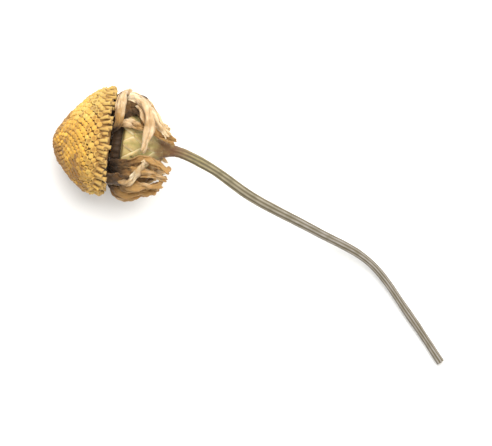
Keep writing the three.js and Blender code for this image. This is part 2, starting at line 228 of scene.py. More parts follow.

# The ray florets, each with the route of its middle line from the root to the tip: points at an x,
# a distance from the axis and an angle round it, in millimetres and degrees. Turn lays the whole
# blade over, twist turns it over towards its tip and roll draws its edges in, in degrees. Brown
# is how brown it has turned, and tip_brown how brown at its tip where that differs: 0 is cream,
# 1 tan and 1.5 the dark brown of painted shade, for blades in the hollows and in the dark wedge
# under the disc. A short form gives the angle, how far the tip leans round the axis, the length
# and how far the blade stands off the cup.
RAYS = (
    {"route": ((1.0, 1.55, 30), (1.1, 2.1, 30), (1.45, 2.42, 30), (1.95, 2.42, 29),
               (2.45, 2.25, 27), (2.95, 1.95, 25)),
     "width": 0.62, "twist": 20, "roll": 120, "brown": 0.55},
    {"route": ((1.0, 1.55, 80), (1.1, 2.35, 80), (1.5, 2.8, 77), (2.1, 2.85, 68), (2.6, 2.72, 50),
               (2.88, 2.5, 28), (2.78, 2.24, -2), (2.7, 2.12, -9)),
     "width": 0.98, "twist": 75, "roll": 70, "brown": 0.05, "tip_brown": 0.48},
    {"route": ((1.0, 1.55, 107), (1.1, 2.2, 107), (1.5, 2.5, 103), (2.2, 2.5, 86), (2.9, 2.34, 57),
               (3.5, 2.05, 38), (4.1, 1.75, 22)),
     "width": 0.95, "twist": 24, "roll": 70, "brown": 0.15, "tip_brown": 0.38},
    {"route": ((1.05, 1.55, 26), (1.03, 2.4, 26), (1.0, 3.0, 32), (0.98, 3.24, 45), (1.04, 3.3, 61),
               (1.25, 3.24, 75), (1.6, 3.05, 86)),
     "width": 0.6, "turn": 90, "twist": 10, "roll": 50, "brown": 0.72, "tip_brown": 0.4},
    {"route": ((1.0, 1.55, 316), (1.5, 1.95, 322), (2.1, 2.35, 332), (2.8, 2.45, 342),
               (3.55, 2.32, 338), (4.5, 2.15, 322)),
     "width": 0.8, "twist": 24, "roll": 90, "brown": 1.4, "tip_brown": 0.8},
    {"route": ((1.0, 1.55, 308), (1.5, 2.1, 311), (2.0, 2.55, 318), (2.7, 2.7, 324),
               (3.5, 2.6, 321), (4.4, 2.45, 311)),
     "width": 0.85, "twist": -34, "roll": 100, "brown": 1.4, "tip_brown": 0.62},
    {"route": ((1.0, 1.55, 296), (1.45, 2.2, 297), (1.9, 2.75, 301), (2.6, 2.95, 306),
               (3.4, 2.85, 306), (4.15, 2.55, 300)),
     "width": 0.9, "twist": 30, "roll": 80, "brown": 1.4, "tip_brown": 0.72},
    {"route": ((1.0, 1.55, 277), (1.15, 2.4, 276), (1.6, 2.95, 279), (2.5, 3.05, 286),
               (3.3, 2.85, 292), (3.85, 2.6, 296)),
     "width": 0.95, "twist": -20, "roll": 90, "brown": 1.4, "tip_brown": 0.7},
    {"route": ((1.0, 1.55, 300), (1.2, 1.9, 300), (1.9, 2.2, 302), (2.8, 2.25, 305),
               (3.6, 1.9, 306)),
     "width": 1.7, "twist": 14, "roll": 50, "brown": 1.3},
    {"route": ((1.0, 1.55, 78), (1.2, 2.0, 78), (1.8, 2.15, 74), (2.4, 2.12, 60), (3.0, 1.85, 42),
               (3.55, 1.65, 30), (4.1, 1.5, 26), (4.6, 1.25, 22)),
     "width": 1.05, "twist": 24, "roll": 80, "brown": 1.7, "tip_brown": 0.85},
    {"route": ((1.0, 1.55, 100), (1.15, 2.1, 99), (1.6, 2.4, 98), (2.2, 2.45, 95), (2.9, 2.2, 92)),
     "width": 1.3, "turn": 75, "twist": 10, "roll": 40, "brown": 1.5},
    {"route": ((1.0, 1.55, 72), (1.15, 2.15, 70), (1.5, 2.34, 67), (2.0, 2.36, 64), (2.5, 2.2, 61)),
     "width": 1.05, "turn": 60, "twist": 6, "roll": 40, "brown": 1.35},
    {"at": 133, "lean": 10, "length": 3.0, "lift": 0.2,
     "width": 1.3, "twist": 28, "roll": 90, "brown": 0.3},
    {"at": 157, "lean": -8, "length": 2.6, "lift": 0.62,
     "width": 1.35, "twist": 8, "roll": 50, "brown": 0.15},
    {"at": 181, "lean": 14, "length": 3.1, "lift": 0.3,
     "width": 1.3, "twist": -20, "roll": 90, "brown": 0.4},
    {"at": 205, "lean": 6, "length": 2.7, "lift": 0.66,
     "width": 1.4, "twist": -6, "roll": 60, "brown": 0.1},
    {"at": 229, "lean": -10, "length": 3.2, "lift": 0.4,
     "width": 1.3, "twist": 34, "roll": 80, "brown": 0.35},
    {"at": 253, "lean": 10, "length": 2.9, "lift": 0.62,
     "width": 1.3, "twist": -30, "roll": 100, "brown": 0.6},
    {"at": 70, "lean": 14, "length": 1.6, "lift": -0.3,
     "width": 0.7, "twist": 40, "roll": 110, "brown": 1.0},
    {"at": 145, "lean": -20, "length": 2.5, "lift": 0.0,
     "width": 0.6, "twist": 50, "roll": 130, "brown": 0.7},
    {"at": 217, "lean": 16, "length": 2.4, "lift": 0.1,
     "width": 0.65, "twist": -50, "roll": 130, "brown": 0.6},
    {"at": 265, "lean": 24, "length": 2.6, "lift": 0.2,
     "width": 0.6, "twist": 60, "roll": 140, "brown": 0.8},
    {"route": ((1.0, 1.55, 300), (1.4, 2.4, 300), (2.0, 3.0, 309), (2.4, 3.08, 321),
               (2.7, 2.9, 333), (2.9, 2.68, 343)),
     "width": 0.46, "twist": -40, "roll": 120, "brown": 0.62, "tip_brown": 0.42},
)

# The stalk's centre line from the head to the cut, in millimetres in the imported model's frame.
STALK_ROUTE = (
    (3.6, 0.38, 3.13),
    (4.12, 0.42, 3.13),
    (5.15, 0.4, 3.08),
    (7.1, -0.1, 2.82),
    (9.95, -1.2, 2.26),
    (13.95, -2.2, 1.5),
    (17.65, -3.28, 0.82),
    (20.75, -5.8, 0.42),
    (23.35, -8.19, 0.27),
)


def linear(code):
    """An sRGB hex colour as linear red, green, blue and a full alpha."""
    value = int(code.lstrip("#"), 16)
    parts = [((value >> shift) & 255) / 255 for shift in (16, 8, 0)]
    return (*Color(parts).from_srgb_to_scene_linear(), 1.0)


def swatch(name, description, code):
    return bpy.props.FloatVectorProperty(
        name=name, description=description, default=linear(code), subtype="COLOR", size=4,
        min=0.0, max=1.0,
    )


def length_mm(name, description, value):
    return bpy.props.FloatProperty(
        name=name, description=description, default=value * MM, min=0.0, precision=5,
        unit="LENGTH", subtype="DISTANCE",
    )


class ChamomileDisc(bpy.types.PropertyGroup):
    """Sizes and colours of the disc."""

    radius: length_mm("Radius", "Widest radius of the disc, over its florets", 3.35)
    height: length_mm("Height", "From the widest section to the crown", 2.9)
    crown_spacing: length_mm("Crown Spacing", "Between the closed florets at the crown", 0.24)
    rim_spacing: length_mm("Rim Spacing", "Between the open florets at the rim", 0.37)
    gold: swatch("Gold", "A floret's tip on most of the disc", "#E2AE40")
    lemon: swatch("Lemon", "The palest florets", "#E2C666")
    # Amber is also the colour of the painted shade on the florets that turn away from the light.
    amber_and_shade: swatch("Amber", "The florets that dried darkest", "#9C6F2E")
    # Rim Tan is the tan of the open florets at the rim, made darker as painted shade on the band
    # behind it.
    rim_tan_and_shade: swatch("Rim Tan", "The open florets at the rim", "#BC9852")
    foot: swatch("Foot", "The shade between the florets' feet", "#93692C")


class ChamomileRays(bpy.types.PropertyGroup):
    """Sizes and colours of the ray florets."""

    thickness: length_mm("Thickness", "Thickness of a dried ray floret", 0.07)
    crinkle: length_mm("Crinkle", "Height of the wrinkles across a ray floret", 0.34)
    pleat: length_mm("Pleat", "Height of the folds along a ray floret", 0.11)
    cream: swatch("Cream", "The dried white of the blades", "#EFD5AC")
    ivory: swatch("Ivory", "The palest ridges", "#F5E2C2")
    tan: swatch("Tan", "The blades that have browned", "#9A7135")
    # Fold Brown is the painted shade in the folds and pucker valleys, and the brown of the edges.
    fold_shade_and_edge_brown: swatch("Fold Brown", "Folds and shrivelled edges", "#7A5528")
    # Root Brown is painted shade: the roots in the gap under the rim and the blades deep in the
    # hollows.
    root_shade_brown: swatch("Root Brown", "The tubes at the roots of the blades", "#3C2812")


class ChamomileBracts(bpy.types.PropertyGroup):
    """Sizes and colours of the bracts."""

    thickness: length_mm("Thickness", "Thickness of a bract", 0.08)
    olive: swatch("Olive", "The green middle of a bract", "#A69657")
    straw: swatch("Straw", "The body of a bract", "#BDA46B")
    margin: swatch("Margin", "The thin pale edge of a bract", "#D3BF8F")
    # Neck Brown is the painted shade at the neck under the head, and the brown of the bracts'
    # mottle.
    mottle_and_neck_shade: swatch("Neck Brown", "The scorched neck under the head", "#70502C")


class ChamomileStalk(bpy.types.PropertyGroup):
    """Sizes and colours of the stalk."""

    neck_radius: length_mm("Neck Radius", "Mean radius near the head", 0.33)
    end_radius: length_mm("End Radius", "Mean radius at the cut end", 0.235)
    rib_depth: length_mm("Rib Depth", "From the mean radius to the top of a rib", 0.035)
    ribs: bpy.props.IntProperty(
        name="Ribs", description="Number of ribs round the stalk", default=8, min=3, max=16
    )
    ridge: swatch("Ridge", "The pale tops of the ribs", "#96875A")
    furrow: swatch("Furrow", "The furrows between the ribs", "#5A5036")
    faded: swatch("Faded", "The ribs towards the cut end", "#989088")
    # Neck is the painted shade on the stalk's end under the head.
    neck: swatch("Neck", "The red brown end under the head", "#6A4526")
    pith: swatch("Pith", "The pith at the cut end", "#CDB585")


class ChamomileStage(bpy.types.PropertyGroup):
    """The stage, its lights and its camera."""

    frame_width: length_mm("Frame Width", "Width of the surface that the camera sees", 30.0)
    lens: bpy.props.FloatProperty(
        name="Lens", description="Focal length in millimetres", default=420.0, min=20.0
    )
    key_power: bpy.props.FloatProperty(
        name="Key Power", description="Strength of the main light", default=0.7, unit="POWER"
    )
    fill_power: bpy.props.FloatProperty(
        name="Fill Power", description="Strength of the light opposite", default=0.1, unit="POWER"
    )
    room: bpy.props.FloatProperty(
        name="Room", description="Strength of the light from all round", default=0.8, min=0.0
    )
    floor: swatch("Floor", "The pale surface", "#F4F2EE")


def add_node(tree, kind, links=None, **settings):
    """Adds a node with its settings, and gives its inputs their links or values."""
    node = tree.nodes.new(kind)
    for name, value in settings.items():
        setattr(node, name, value)
    for key, value in (links or {}).items():
        if isinstance(value, bpy.types.NodeSocket):
            tree.links.new(value, node.inputs[key])
        else:
            node.inputs[key].default_value = value
    return node


def new_material(name):
    material = bpy.data.materials.new(name)
    material.use_nodes = True
    material.node_tree.nodes.clear()
    return material, material.node_tree


def grain(size_mm):
    """The texture scale whose features are about this many millimetres."""
    return 1 / (size_mm * MM)


# Sockets of the Mix node when it mixes colours.
MIX_SHARE, MIX_A, MIX_B, MIX_RESULT = 0, 6, 7, 2
VEIN_SCALE = 2.0  # over the coordinates of a blade or bract


def patterned_material(name, marks, patterns):
    """A material and its nodes, with the marks that the vertices carry, patterns of a size in
    millimetres and a detail, and the place on the object."""
    material, tree = new_material(name)
    place = add_node(tree, "ShaderNodeTexCoord").outputs["Object"]
    marks = [
        add_node(tree, "ShaderNodeAttribute", attribute_name=mark).outputs["Fac"] for mark in marks
    ]
    patterns = [
        add_node(
            tree, "ShaderNodeTexNoise", {"Vector": place, "Scale": grain(size), "Detail": detail}
        ).outputs["Fac"]
        for size, detail in patterns
    ]
    return material, tree, marks, patterns, place


def veined(tree, strand, stretch, detail):
    """Fine veins along a blade or bract: noise over its own coordinates, drawn out along it."""
    strand = add_node(tree, "ShaderNodeCombineXYZ", strand).outputs["Vector"]
    stretch = add_node(tree, "ShaderNodeMapping", {"Vector": strand, "Scale": stretch})
    vector = stretch.outputs["Vector"]
    return add_node(
        tree, "ShaderNodeTexNoise", {"Vector": vector, "Scale": VEIN_SCALE, "Detail": detail}
    ).outputs["Fac"]


def painted(tree, colour, coats):
    """Lays coats over a colour. Each coat is (value, low, high, strength, coat): it is clear where
    the value is low, and covers what lies under it up to its strength where the value is high."""
    for value, low, high, strength, coat in coats:
        share = add_node(
            tree,
            "ShaderNodeMapRange",
            {"Value": value, "From Min": low, "From Max": high, "To Max": strength},
        ).outputs["Result"]
        colour = add_node(
            tree, "ShaderNodeMix", {MIX_SHARE: share, MIX_A: colour, MIX_B: coat}, data_type="RGBA"
        ).outputs[MIX_RESULT]
    return colour


def floret_material(disc):
    # Dried florets: tubes of thin, waxy tissue that shrank as it dried. Matt and mottled gold.
    # Painted shade darkens them towards their feet and in their open throats, where the light is
    # lost, on the florets that turn away from the light, and on the band behind the rim.
    material, tree, (tone, tip, zone), (patches, mottle), _ = patterned_material(
        "dried_tube_florets", ("tone", "tip", "zone"), ((1.6, 3.0), (0.09, 4.0))
    )
    coats = (
        (tone, 0.0, 0.45, 1.0, disc.gold),
        (tone, 0.55, 1.0, 1.0, disc.lemon),
        (patches, 0.5, 0.72, 0.45, disc.amber_and_shade),
        # the rim's tan, darkened as painted shade on the band behind the rim
        (zone, 0.72, 0.95, 1.0, disc.rim_tan_and_shade),
        (mottle, 0.35, 0.7, 0.22, disc.foot),
    )
    # painted shade: the foot colour towards each floret's foot, in its opening and on the
    # receptacle
    lit_share = add_node(
        tree,
        "ShaderNodeMapRange",
        {"Value": tip, "From Min": 0.15, "From Max": 0.8},
        interpolation_type="SMOOTHSTEP",
    ).outputs["Result"]
    colour = add_node(
        tree,
        "ShaderNodeMix",
        {MIX_SHARE: lit_share, MIX_A: disc.foot, MIX_B: painted(tree, disc.amber_and_shade, coats)},
        data_type="RGBA",
    ).outputs[MIX_RESULT]
    bump = add_node(
        tree, "ShaderNodeBump", {"Height": mottle, "Strength": 0.6, "Distance": 0.03 * MM}
    )
    roughness = add_node(
        tree, "ShaderNodeMapRange", {"Value": mottle, "To Min": 0.62, "To Max": 0.85}
    )
    shader = add_node(
        tree,
        "ShaderNodeBsdfPrincipled",
        {
            "Base Color": colour,
            "Roughness": roughness.outputs["Result"],
            "Normal": bump.outputs["Normal"],
            "IOR": 1.4,
            "Sheen Weight": 0.15,
            "Sheen Roughness": 0.6,
        },
    )
    add_node(tree, "ShaderNodeOutputMaterial", {"Surface": shader.outputs["BSDF"]})
    return material


def ray_material(rays):
    # A dried petal: paper-thin tissue with fine veins along it. It lets a little light through and
    # pales on its ridges. Painted shade browns it in its folds and the valleys of its puckers, and
    # it darkens at its edges. Painted shade also takes its root, and the blades deep under the
    # head, to a dark brown.
    material, tree, (along, across, fold, brown), (blotches,), place = patterned_material(
        "shrivelled_petal", ("along", "across", "fold", "brown"), ((0.7, 5.0),)
    )
    veins = veined(tree, {"X": across, "Y": along, "Z": brown}, (9.0, 3.0, 5.0), 3.0)
    # the brown mark with blotches; from about 1.35 on it paints the dark brown of shade
    browned = add_node(
        tree, "ShaderNodeMath", {0: blotches, 1: brown}, operation="ADD"
    ).outputs["Value"]
    coats = (
        (veins, 0.42, 0.66, 1.0, rays.ivory),
        (browned, 0.6, 1.15, 0.95, rays.tan),
        # painted shade: the dark blades in the hollows under the disc
        (browned, 1.35, 1.9, 0.95, rays.root_shade_brown),
        # painted shade in the folds and pucker valleys, and the darker edges
        (fold, 0.45, 1.0, 0.75, rays.fold_shade_and_edge_brown),
        # painted shade: the dark roots of the blades, in the gap under the rim
        (along, 0.3, 0.13, 1.0, rays.root_shade_brown),
    )
    creases = add_node(
        tree,
        "ShaderNodeTexNoise",
        {"Vector": place, "Scale": grain(0.3), "Detail": 4.0, "Distortion": 0.6},
        noise_type="RIDGED_MULTIFRACTAL",
    ).outputs["Fac"]
    relief = add_node(
        tree, "ShaderNodeMath", {0: creases, 1: 0.6, 2: veins}, operation="MULTIPLY_ADD"
    ).outputs["Value"]
    bump = add_node(
        tree, "ShaderNodeBump", {"Height": relief, "Strength": 0.8, "Distance": 0.05 * MM}
    )
    shader = add_node(
        tree,
        "ShaderNodeBsdfPrincipled",
        {
            "Base Color": painted(tree, rays.cream, coats),
            "Roughness": 0.68,
            "Normal": bump.outputs["Normal"],
            "IOR": 1.4,
            "Subsurface Weight": 0.3,
            "Subsurface Radius": (1.0, 0.7, 0.4),
            "Subsurface Scale": 0.25 * MM,
            "Sheen Weight": 0.1,
        },
    )
    add_node(tree, "ShaderNodeOutputMaterial", {"Surface": shader.outputs["BSDF"]})
    return material


def bract_material(bracts):
    # A dried bract: a stiff straw-coloured scale, green along its middle, with a clear thin
    # margin. Fine veins run along it, and the neck below is painted red brown as the shade where
    # the stalk enters under the ray florets.
    material, tree, (edge, along, neck), (mottle,), _ = patterned_material(
        "dried_bract", ("edge", "along", "neck"), ((0.35, 5.0),)
    )
    veins = veined(tree, {"X": edge, "Y": along}, (10.0, 1.2, 1.0), 2.0)
    # painted shade at the neck, with a mottled edge
    shaded = add_node(
        tree, "ShaderNodeMath", {0: neck, 1: mottle}, operation="ADD"
    ).outputs["Value"]
    coats = (
        (edge, 0.55, 0.0, 1.0, bracts.olive),
        (edge, 0.62, 0.85, 1.0, bracts.margin),
        (mottle, 0.5, 0.75, 0.45, bracts.mottle_and_neck_shade),
        (shaded, 0.7, 1.5, 1.0, bracts.mottle_and_neck_shade),
    )
    bump = add_node(
        tree, "ShaderNodeBump", {"Height": veins, "Strength": 0.6, "Distance": 0.04 * MM}
    )
    shader = add_node(
        tree,
        "ShaderNodeBsdfPrincipled",
        {
            "Base Color": painted(tree, bracts.straw, coats),
            "Roughness": 0.6,
            "Normal": bump.outputs["Normal"],
            "IOR": 1.42,
            "Subsurface Weight": 0.12,
            "Subsurface Scale": 0.2 * MM,
        },
    )
    add_node(tree, "ShaderNodeOutputMaterial", {"Surface": shader.outputs["BSDF"]})
    return material


def stalk_material(stalk):
    # A dried herb stalk: fibrous and ribbed, grey olive with dark furrows and pale rib tops,
    # painted red brown as shade under the head, and a pale spongy pith where it was cut.
    material, tree, (rib, along, pith), (mottle, fibre), _ = patterned_material(
        "dried_stalk", ("rib", "along", "pith"), ((0.5, 6.0), (0.08, 3.0))
    )
    ridge = painted(tree, stalk.ridge, ((along, 0.3, 0.62, 1.0, stalk.faded),))
    coats = (
        (rib, 0.2, 0.9, 1.0, ridge),
        (mottle, 0.45, 0.75, 0.6, stalk.furrow),
        # painted shade on the stalk near the head
        (along, 0.3, 0.17, 1.0, stalk.neck),
        (pith, 0.0, 1.0, 1.0, stalk.pith),
    )
    bump = add_node(
        tree, "ShaderNodeBump", {"Height": fibre, "Strength": 0.7, "Distance": 0.02 * MM}
    )
    shader = add_node(
        tree,
        "ShaderNodeBsdfPrincipled",
        {
            "Base Color": painted(tree, stalk.furrow, coats),
            "Roughness": 0.58,
            "Normal": bump.outputs["Normal"],
            "IOR": 1.45,
        },
    )
    add_node(tree, "ShaderNodeOutputMaterial", {"Surface": shader.outputs["BSDF"]})
    return material


def around(x, radius, angle):
    """A point at a distance from the head's axis. Angle 0 is the top, and 90 degrees is +Y."""
    return Vector((x, radius * math.sin(angle), radius * math.cos(angle)))


def blend(low, high, share):
    return low + (high - low) * share


def clamped(value):
    return min(max(value, 0.0), 1.0)


def smooth(value, low, high):
    """Rises from 0 at low to 1 at high, level at both ends."""
    share = clamped((value - low) / (high - low))
    return share * share * (3 - 2 * share)


def on_spline(points, share):
    """A point on a Catmull-Rom curve through the points, from the first at 0 to the last at 1."""
    last = len(points) - 1
    place = clamped(share) * last
    first = min(int(place), last - 1)
    t = place - first
    a, b, c, d = (points[min(max(first + i, 0), last)] for i in (-1, 0, 1, 2))
    return (
        b
        + (c - a) * (0.5 * t)
        + (a - b * 2.5 + c * 2 - d * 0.5) * (t * t)
        + (b * 1.5 - a * 0.5 - c * 1.5 + d * 0.5) * (t * t * t)
    )


def noise_shift(draw):
    """A place in the noise for one ray floret or bract."""
    return Vector([draw.uniform(0, NOISE_SPAN) for _ in range(3)])


def frames_along(points, steps, side):
    """Places on a curve through the points, each with the direction across it, turned as little
    as possible on the way, and the direction along it."""
    centres = [on_spline(points, i / steps) for i in range(steps + 1)]
    frames = []
    for i, centre in enumerate(centres):
        ahead = (centres[min(i + 1, steps)] - centres[max(i - 1, 0)]).normalized()
        side = (side - ahead * side.dot(ahead)).normalized()
        frames.append((centre, side, ahead))
    return frames


def layers(bm, *names):
    """Vertex attributes that the materials read."""
    return [bm.verts.layers.float.new(name) for name in names]


def extruded(bm, edges):
    """Extrudes a rim of edges and gives the vertices and edges of the new rim."""
    made = bmesh.ops.extrude_edge_only(bm, edges=edges)["geom"]
    verts = [part for part in made if isinstance(part, bmesh.types.BMVert)]
    edges = [part for part in made if isinstance(part, bmesh.types.BMEdge) and part.is_boundary]
    return verts, edges


def swell(vert, factor):
    """Moves a vertex away from the head's axis, or towards it."""
    vert.co.y *= factor
    vert.co.z *= factor


def faces_of(verts):
    return list(dict.fromkeys(face for vert in verts for face in vert.link_faces))


def spun(bm, profile, steps):
    """Spins a profile of (x, radius) points round the head's axis and gives its vertices."""
    before = set(bm.verts)
    verts = [bm.verts.new((x, 0.0, radius)) for x, radius in profile]
    edges = [bm.edges.new(pair) for pair in zip(verts, verts[1:])]
    bmesh.ops.spin(
        bm,
        geom=[*verts, *edges],
        cent=(0, 0, 0),
        axis=(1, 0, 0),
        angle=TURN,
        steps=steps,
        use_merge=True,
    )
    made = [vert for vert in bm.verts if vert not in before]
    bmesh.ops.remove_doubles(bm, verts=made, dist=MERGED)
    made = [vert for vert in bm.verts if vert not in before]
    bmesh.ops.recalc_face_normals(bm, faces=faces_of(made))
    return made


def thicken(bm, faces, thickness):
    """Gives thin ray florets or bracts their thickness and closes their edges."""
    made = bmesh.ops.extrude_face_region(bm, geom=faces, use_keep_orig=True)["geom"]
    bm.normal_update()
    for part in made:
        if isinstance(part, bmesh.types.BMVert):
            part.co += part.normal * thickness
    bmesh.ops.recalc_face_normals(bm, faces=bm.faces)


def pressed(height):
    """The height of a point after what would reach under the surface is pressed flat on it. Near
    the surface heights are drawn together, but they stay apart."""
    near = PRESSED_LAYER * MM
    return height if height > near else near * math.exp(height / near - 1)


def new_mesh(bm, name):
    mesh = bpy.data.meshes.new(name)
    bm.to_mesh(mesh)
    bm.free()
    return mesh


def new_object(name, data):
    made = bpy.data.objects.new(name, data)
    bpy.context.collection.objects.link(made)
    return made


def finish_piece(bm, name, material, place, node):
    """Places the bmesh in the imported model's frame, rests it on the surface and makes it the
    piece that stands for a node."""
    bmesh.ops.transform(bm, matrix=place, verts=bm.verts)
    for vert in bm.verts:
        vert.co.z = pressed(vert.co.z)
    for face in bm.faces:
        face.smooth = True
    mesh = new_mesh(bm, name)
    mesh.materials.append(material)
    piece = new_object(name, mesh)
    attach(piece, "root")
    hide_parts(node)
    return piece


def rounded(piece):
    modifier = piece.modifiers.new("Rounded", "SUBSURF")
    modifier.levels = 1
    modifier.render_levels = 1


def disc_section(disc, t, inset=0.0):
    """The disc's section from the crown, at 0, over the widest part to the back of the rim, at
    1: a blunt cone that rolls under at its rim. Gives (x, radius) in millimetres."""
    radius = disc.radius / MM - inset
    height = disc.height / MM - inset
    if t < ROLL_START:
        u = math.cos(t / ROLL_START * math.pi / 2)
        dome = math.sqrt(1 - u * u)
        cone = 1 - u**CONE_POWER
        return -height * u, radius * blend(cone, dome, DOME_SHARE)
    turn = (t - ROLL_START) / (1 - ROLL_START) * RIM_ROLL
    drop = (1 - math.cos(turn)) / (1 - math.cos(RIM_ROLL))
    back = math.sin(turn) / math.sin(RIM_ROLL)
    return RIM_BACK * back, blend(radius, RIM_RADIUS - inset, drop)


def lean_crown(verts):
    """Leans the cone in front of its widest section towards -Y."""
    for vert in verts:
        vert.co.y += CROWN_LEAN * min(vert.co.x, 0.0)


def floret_spots(disc):
    """Spots on the golden angle, packed closer at the crown than at the rim: the place along the
    section, the angle round the axis and the spacing there, in millimetres."""
    spots = []
    count = 0.0
    x0, r0 = disc_section(disc, 0.0)
    for step in range(1, SECTION_STEPS + 1):
        t = step / SECTION_STEPS
        x1, r1 = disc_section(disc, t)
        spacing = blend(disc.crown_spacing, disc.rim_spacing, t) / MM
        area = math.pi * (r0 + r1) * math.hypot(x1 - x0, r1 - r0)
        count += area / (spacing**2 * PACKING)
        while len(spots) + 0.5 < count:
            spots.append((t, len(spots) * GOLDEN_ANGLE, spacing))
        x0, r0 = x1, r1
    return spots


def floret_shape(name, tip, *rings):
    """A tube floret with five lobes, a spacing wide and standing on Z."""
    bm = bmesh.new()
    bmesh.ops.create_circle(bm, segments=2 * LOBES, radius=1.0)
    verts, edges = list(bm.verts), list(bm.edges)
    for number, (height, radius, lobes) in enumerate(rings):
        if number:
            verts, edges = extruded(bm, edges)
        for vert in verts:
            angle = math.atan2(vert.co.y, vert.co.x)
            lobe = math.cos(LOBES * angle)
            reach = radius * (1 + lobes * lobe)
            vert.co = (
                math.cos(angle) * reach,
                math.sin(angle) * reach,
                height + LOBE_LIFT * radius * lobes * lobe,
            )
    verts, edges = extruded(bm, edges)
    bmesh.ops.pointmerge(bm, verts=verts, merge_co=(0, 0, tip))
    bmesh.ops.recalc_face_normals(bm, faces=bm.faces)
    return new_mesh(bm, name)


def add_florets(bm, disc, draw, foot_shade_layer, tone_layer, zone_layer):
    """Sets a floret on every spot of the disc, bent back more and more towards the rim."""
    closed, half, opened, tube = shapes = [floret_shape(*row) for row in FLORET_SHAPES]
    for t, angle, spacing in floret_spots(disc):
        age = t + draw.uniform(-AGE_SPREAD, AGE_SPREAD)
        if t > TUBES_START:
            shape = tube
        else:
            shape = closed if age < HALF_OPEN_AGE else half if age < OPEN_AGE else opened
        sunk = blend(*FOOT_DEPTHS, smooth(t, DEEPER_START, TUBES_START))
        x0, r0 = disc_section(disc, max(t - SLOPE_STEP, 0.0), sunk)
        x1, r1 = disc_section(disc, min(t + SLOPE_STEP, 1.0), sunk)
        outward = around(r0 - r1, x1 - x0, angle).normalized()
        bend = BACK_BEND * smooth(t, BEND_START, BEND_END)
        outward = outward.lerp(HEAD_AXIS, bend).normalized()
        sway = TUBE_SWAY if shape is tube else SWAY
        outward += Vector([draw.uniform(-sway, sway) for _ in range(3)])
        x, radius = disc_section(disc, t, sunk)
        spot = around(x, radius, angle)
        spot += spot.normalized() * DISC_WAVE * noise.noise(spot * DISC_WAVE_RATE)
        width = spacing * draw.uniform(*FLORET_WIDTHS)
        tall = spacing * draw.uniform(*FLORET_HEIGHTS)
        if shape is tube:
            tall = min(TUBE_STRETCH * tall, TUBE_REACH - x + draw.uniform(*TUBE_SPREAD))
        turn = outward.to_track_quat("Z", "Y").to_matrix().to_4x4()
        place = (
            Matrix.Translation(spot)
            @ turn
            @ Matrix.Rotation(draw.uniform(0, TURN), 4, "Z")
            @ Matrix.Diagonal((width, width, tall, 1.0))
        )
        start = len(bm.verts)
        bm.from_mesh(shape)
        bm.verts.ensure_lookup_table()
        new = bm.verts[start:]
        tone = MEAN_TONE + TONE_PATCHES * noise.noise(spot * TONE_PATCH_RATE)
        tone += draw.gauss(0, TONE_SPREAD)
        tone += FLANK_TONE * smooth(spot.y, *FLANK)
        # painted shade on the florets that turn away from the light
        tone -= PAINTED_SHADE_TONE * (1 - smooth(outward.dot(LIGHT_SIDE), *PAINTED_SHADE_SPAN))
        for vert in new:
            vert[foot_shade_layer] = clamped((vert.co.z - FOOT_HEIGHT) / LIT_HEIGHT)
            vert[tone_layer] = clamped(tone)
            vert[zone_layer] = t
        if shape in (opened, tube):
            for vert in new[-2 * LOBES - 1 :]:  # the rim of the opening and its bottom, in painted shade
                vert[foot_shade_layer] = OPENING_SHADE
        bmesh.ops.transform(bm, matrix=place, verts=new)
        for vert in new:
            vert.co += noise.noise_vector(vert.co * FLORET_PUCKER_RATE) * FLORET_PUCKER
    for mesh in shapes:
        bpy.data.meshes.remove(mesh)


def add_receptacle(bm, disc, zone_layer):
    """The body under the florets, hollow behind the rim, with the stub that carries the head."""
    # the receptacle keeps the tip mark at 0, so it takes the painted shade of the florets' feet
    profile = [disc_section(disc, i / CORE_STEPS, CORE_INSET) for i in range(CORE_STEPS + 1)]
    profile[0] = (profile[0][0], 0.0)
    for vert in spun(bm, [*profile, *CORE_BACK], CORE_SIDES):
        swell(vert, 1 + CORE_WAVE * noise.noise(vert.co * CORE_WAVE_RATE))
        vert[zone_layer] = CORE_ZONE


def cup_radius(x):
    """The cup's radius under its bracts: full at the mouth, drawn in to the neck."""
    share = (x - CUP_MOUTH) / (NECK_END - CUP_MOUTH)
    return blend(CUP_RADIUS, NECK_RADIUS, smooth(share, *CUP_DRAWN_IN))


def ray_route(ray):
    """The middle line of a ray floret, from its root to its tip."""
    if "route" in ray:
        places = ray["route"]
    else:
        last = len(SHORT_ROUTE) - 1
        places = [
            (
                RAY_ROOT + x + x_share * ray["length"],
                radius + lift_share * ray["lift"],
                ray["at"] + ray["lean"] * (i / last) ** LEAN_POWER,
            )
            for i, (x, x_share, radius, lift_share) in enumerate(SHORT_ROUTE)
        ]
    return [around(x, radius, math.radians(angle)) for x, radius, angle in places]


